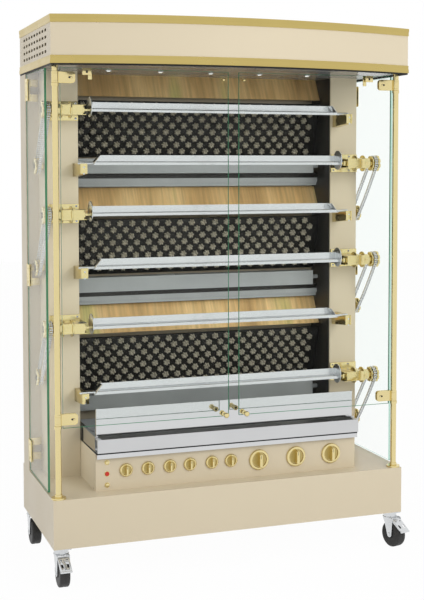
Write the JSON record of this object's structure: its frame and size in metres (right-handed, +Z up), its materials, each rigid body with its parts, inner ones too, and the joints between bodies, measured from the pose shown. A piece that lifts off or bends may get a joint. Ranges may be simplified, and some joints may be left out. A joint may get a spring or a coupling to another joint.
{
  "type": "spit rotisserie",
  "caption": "Wall rotisserie on casters with stacked gas roasting stages, chain-driven spits, glass doors, drip drawer and bowed canopy.",
  "frame": {"origin": "on the floor under the middle of the whole machine", "axes": "+Z up, -Y towards the front doors, +X to the right seen from the front"},
  "size_m": [1.3901, 0.733, 2.014],
  "materials": {
    "beige_paint": "satin",
    "brass_polished": "polished",
    "stainless_mirror": "polished",
    "stainless_brushed": "brushed",
    "copper_sheet": "heat tinted",
    "cast_dark": "rough",
    "burner_steel": "satin",
    "clear_glass": "clear",
    "zinc_plated": "bright",
    "black_rubber": "matt",
    "chain_steel": "bright",
    "motor_grey": "matt",
    "red_lens": "clear red",
    "button_metal": "polished"
  },
  "bodies": {
    "body": {"base_plinth": "beige_paint", "rear_cabinet": "beige_paint", "side_columns": "beige_paint", "canopy_shell": "beige_paint", "canopy_bands": "brass_polished", "canopy_ceiling": "stainless_mirror", "corner_posts": "brass_polished", "firebacks": "cast_dark", "flame_hoods": "copper_sheet", "burners": "burner_steel", "control_box": "beige_paint", "tray_frame": "stainless_mirror", "spit_bearings": "brass_polished", "drive_chains": "chain_steel", "pilot_lamp": "red_lens", "hinge_leaves": "brass_polished", "gearmotors": "motor_grey", "caster_mounts": "zinc_plated"},
    "front_door_left": {"front_door_left": "clear_glass", "front_fittings_left": "brass_polished"},
    "side_door_left": {"side_door_left": "clear_glass", "side_hinges_left": "brass_polished"},
    "front_door_right": {"front_door_right": "clear_glass", "front_fittings_right": "brass_polished"},
    "side_door_right": {"side_door_right": "clear_glass", "side_hinges_right": "brass_polished"},
    "drip_drawer": {"drip_drawer": "stainless_mirror"},
    "spit_1": {"spit_1": "stainless_brushed"},
    "motor_sprocket_1": {"motor_sprocket_1": "brass_polished"},
    "spit_2": {"spit_2": "stainless_brushed"},
    "motor_sprocket_2": {"motor_sprocket_2": "brass_polished"},
    "spit_3": {"spit_3": "stainless_brushed"},
    "motor_sprocket_3": {"motor_sprocket_3": "brass_polished"},
    "spit_4": {"spit_4": "stainless_brushed"},
    "motor_sprocket_4": {"motor_sprocket_4": "brass_polished"},
    "spit_5": {"spit_5": "stainless_brushed"},
    "motor_sprocket_5": {"motor_sprocket_5": "brass_polished"},
    "spit_6": {"spit_6": "stainless_brushed"},
    "motor_sprocket_6": {"motor_sprocket_6": "brass_polished"},
    "motor_knob_1": {"motor_knob_1": "brass_polished"},
    "motor_knob_2": {"motor_knob_2": "brass_polished"},
    "motor_knob_3": {"motor_knob_3": "brass_polished"},
    "motor_knob_4": {"motor_knob_4": "brass_polished"},
    "motor_knob_5": {"motor_knob_5": "brass_polished"},
    "motor_knob_6": {"motor_knob_6": "brass_polished"},
    "gas_knob_1": {"gas_knob_1": "brass_polished"},
    "gas_knob_2": {"gas_knob_2": "brass_polished"},
    "gas_knob_3": {"gas_knob_3": "brass_polished"},
    "upper_button": {"upper_button": "button_metal"},
    "lower_button": {"lower_button": "button_metal"},
    "caster_fork_front_left": {"caster_fork_front_left": "zinc_plated"},
    "caster_wheel_front_left": {"caster_wheel_front_left": "black_rubber"},
    "brake_pedal_front_left": {"brake_pedal_front_left": "zinc_plated"},
    "caster_fork_front_right": {"caster_fork_front_right": "zinc_plated"},
    "caster_wheel_front_right": {"caster_wheel_front_right": "black_rubber"},
    "brake_pedal_front_right": {"brake_pedal_front_right": "zinc_plated"},
    "caster_fork_rear_left": {"caster_fork_rear_left": "zinc_plated"},
    "caster_wheel_rear_left": {"caster_wheel_rear_left": "black_rubber"},
    "caster_fork_rear_right": {"caster_fork_rear_right": "zinc_plated"},
    "caster_wheel_rear_right": {"caster_wheel_rear_right": "black_rubber"}
  },
  "joints": [
    {"name": "front_door_left_hinge", "type": "hinge", "parent": "body", "child": "front_door_left", "pos_m": [-0.6636, -0.1985, 0.563], "axis": [0, 0, 1], "range_deg": [-110, 0]},
    {"name": "side_door_left_hinge", "type": "hinge", "parent": "body", "child": "side_door_left", "pos_m": [-0.685, 0.23, 0.319], "axis": [0, 0, 1], "range_deg": [-95, 0]},
    {"name": "front_door_right_hinge", "type": "hinge", "parent": "body", "child": "front_door_right", "pos_m": [0.6636, -0.1985, 0.563], "axis": [0, 0, 1], "range_deg": [0, 110]},
    {"name": "side_door_right_hinge", "type": "hinge", "parent": "body", "child": "side_door_right", "pos_m": [0.685, 0.23, 0.319], "axis": [0, 0, 1], "range_deg": [0, 95]},
    {"name": "drawer_slide", "type": "slide", "parent": "body", "child": "drip_drawer", "axis": [0, -1, 0], "range_m": [0, 0.25]},
    {"name": "spit_1_spin", "type": "hinge", "parent": "body", "child": "spit_1", "pos_m": [-0.498, -0.0235, 1.697], "axis": [1, 0, 0], "continuous": true},
    {"name": "motor_sprocket_1_spin", "type": "hinge", "parent": "body", "child": "motor_sprocket_1", "pos_m": [-0.656, 0.1415, 1.492], "axis": [1, 0, 0], "continuous": true},
    {"name": "spit_2_spin", "type": "hinge", "parent": "body", "child": "spit_2", "pos_m": [0.498, -0.0235, 1.502], "axis": [1, 0, 0], "continuous": true},
    {"name": "motor_sprocket_2_spin", "type": "hinge", "parent": "body", "child": "motor_sprocket_2", "pos_m": [0.656, 0.1415, 1.297], "axis": [1, 0, 0], "continuous": true},
    {"name": "spit_3_spin", "type": "hinge", "parent": "body", "child": "spit_3", "pos_m": [-0.498, -0.0235, 1.314], "axis": [1, 0, 0], "continuous": true},
    {"name": "motor_sprocket_3_spin", "type": "hinge", "parent": "body", "child": "motor_sprocket_3", "pos_m": [-0.656, 0.1415, 1.109], "axis": [1, 0, 0], "continuous": true},
    {"name": "spit_4_spin", "type": "hinge", "parent": "body", "child": "spit_4", "pos_m": [0.498, -0.0235, 1.1175], "axis": [1, 0, 0], "continuous": true},
    {"name": "motor_sprocket_4_spin", "type": "hinge", "parent": "body", "child": "motor_sprocket_4", "pos_m": [0.656, 0.1415, 0.9125], "axis": [1, 0, 0], "continuous": true},
    {"name": "spit_5_spin", "type": "hinge", "parent": "body", "child": "spit_5", "pos_m": [-0.498, -0.0235, 0.8965], "axis": [1, 0, 0], "continuous": true},
    {"name": "motor_sprocket_5_spin", "type": "hinge", "parent": "body", "child": "motor_sprocket_5", "pos_m": [-0.656, 0.1415, 0.6915], "axis": [1, 0, 0], "continuous": true},
    {"name": "spit_6_spin", "type": "hinge", "parent": "body", "child": "spit_6", "pos_m": [0.498, -0.0235, 0.6515], "axis": [1, 0, 0], "continuous": true},
    {"name": "motor_sprocket_6_spin", "type": "hinge", "parent": "body", "child": "motor_sprocket_6", "pos_m": [0.656, 0.1415, 0.4465], "axis": [1, 0, 0], "continuous": true},
    {"name": "motor_knob_1_turn", "type": "hinge", "parent": "body", "child": "motor_knob_1", "pos_m": [-0.405, -0.1529, 0.384], "axis": [0, 1, 0], "range_deg": [0, 90]},
    {"name": "motor_knob_2_turn", "type": "hinge", "parent": "body", "child": "motor_knob_2", "pos_m": [-0.322, -0.1529, 0.384], "axis": [0, 1, 0], "range_deg": [0, 90]},
    {"name": "motor_knob_3_turn", "type": "hinge", "parent": "body", "child": "motor_knob_3", "pos_m": [-0.238, -0.1529, 0.384], "axis": [0, 1, 0], "range_deg": [0, 90]},
    {"name": "motor_knob_4_turn", "type": "hinge", "parent": "body", "child": "motor_knob_4", "pos_m": [-0.16, -0.1529, 0.384], "axis": [0, 1, 0], "range_deg": [0, 90]},
    {"name": "motor_knob_5_turn", "type": "hinge", "parent": "body", "child": "motor_knob_5", "pos_m": [-0.074, -0.1529, 0.384], "axis": [0, 1, 0], "range_deg": [0, 90]},
    {"name": "motor_knob_6_turn", "type": "hinge", "parent": "body", "child": "motor_knob_6", "pos_m": [0.002, -0.1529, 0.384], "axis": [0, 1, 0], "range_deg": [0, 90]},
    {"name": "gas_knob_1_turn", "type": "hinge", "parent": "body", "child": "gas_knob_1", "pos_m": [0.115, -0.1529, 0.377], "axis": [0, 1, 0], "range_deg": [0, 180]},
    {"name": "gas_knob_2_turn", "type": "hinge", "parent": "body", "child": "gas_knob_2", "pos_m": [0.267, -0.1529, 0.377], "axis": [0, 1, 0], "range_deg": [0, 180]},
    {"name": "gas_knob_3_turn", "type": "hinge", "parent": "body", "child": "gas_knob_3", "pos_m": [0.414, -0.1529, 0.377], "axis": [0, 1, 0], "range_deg": [0, 180]},
    {"name": "upper_button_press", "type": "slide", "parent": "body", "child": "upper_button", "axis": [0, 1, 0], "range_m": [0, 0.004], "stiffness_N_per_m": 300, "springref_m": -0.002},
    {"name": "lower_button_press", "type": "slide", "parent": "body", "child": "lower_button", "axis": [0, 1, 0], "range_m": [0, 0.004], "stiffness_N_per_m": 300, "springref_m": -0.002},
    {"name": "caster_fork_front_left_swivel", "type": "hinge", "parent": "body", "child": "caster_fork_front_left", "pos_m": [-0.655, -0.191, 0.112], "axis": [0, 0, 1], "continuous": true},
    {"name": "caster_wheel_front_left_roll", "type": "hinge", "parent": "caster_fork_front_left", "child": "caster_wheel_front_left", "pos_m": [-0.655, -0.2135, 0.05], "axis": [1, 0, 0], "continuous": true},
    {"name": "brake_pedal_front_left_press", "type": "hinge", "parent": "caster_fork_front_left", "child": "brake_pedal_front_left", "pos_m": [-0.655, -0.225, 0.1095], "axis": [1, 0, 0], "range_deg": [0, 7]},
    {"name": "caster_fork_front_right_swivel", "type": "hinge", "parent": "body", "child": "caster_fork_front_right", "pos_m": [0.655, -0.191, 0.112], "axis": [0, 0, 1], "continuous": true},
    {"name": "caster_wheel_front_right_roll", "type": "hinge", "parent": "caster_fork_front_right", "child": "caster_wheel_front_right", "pos_m": [0.66082, -0.21273, 0.05], "axis": [0.9659, 0.2588, 0], "continuous": true},
    {"name": "brake_pedal_front_right_press", "type": "hinge", "parent": "caster_fork_front_right", "child": "brake_pedal_front_right", "pos_m": [0.6638, -0.22384, 0.1095], "axis": [0.9659, 0.2588, 0], "range_deg": [0, 7]},
    {"name": "caster_fork_rear_left_swivel", "type": "hinge", "parent": "body", "child": "caster_fork_rear_left", "pos_m": [-0.655, 0.334, 0.112], "axis": [0, 0, 1], "continuous": true},
    {"name": "caster_wheel_rear_left_roll", "type": "hinge", "parent": "caster_fork_rear_left", "child": "caster_wheel_rear_left", "pos_m": [-0.655, 0.3115, 0.05], "axis": [1, 0, 0], "continuous": true},
    {"name": "caster_fork_rear_right_swivel", "type": "hinge", "parent": "body", "child": "caster_fork_rear_right", "pos_m": [0.655, 0.334, 0.112], "axis": [0, 0, 1], "continuous": true},
    {"name": "caster_wheel_rear_right_roll", "type": "hinge", "parent": "caster_fork_rear_right", "child": "caster_wheel_rear_right", "pos_m": [0.655, 0.3115, 0.05], "axis": [1, 0, 0], "continuous": true}
  ],
  "couplings": [
    {"joint": "motor_sprocket_1_spin", "follows": "spit_1_spin", "ratio": 1},
    {"joint": "motor_sprocket_2_spin", "follows": "spit_2_spin", "ratio": 1},
    {"joint": "motor_sprocket_3_spin", "follows": "spit_3_spin", "ratio": 1},
    {"joint": "motor_sprocket_4_spin", "follows": "spit_4_spin", "ratio": 1},
    {"joint": "motor_sprocket_5_spin", "follows": "spit_5_spin", "ratio": 1},
    {"joint": "motor_sprocket_6_spin", "follows": "spit_6_spin", "ratio": 1}
  ]
}
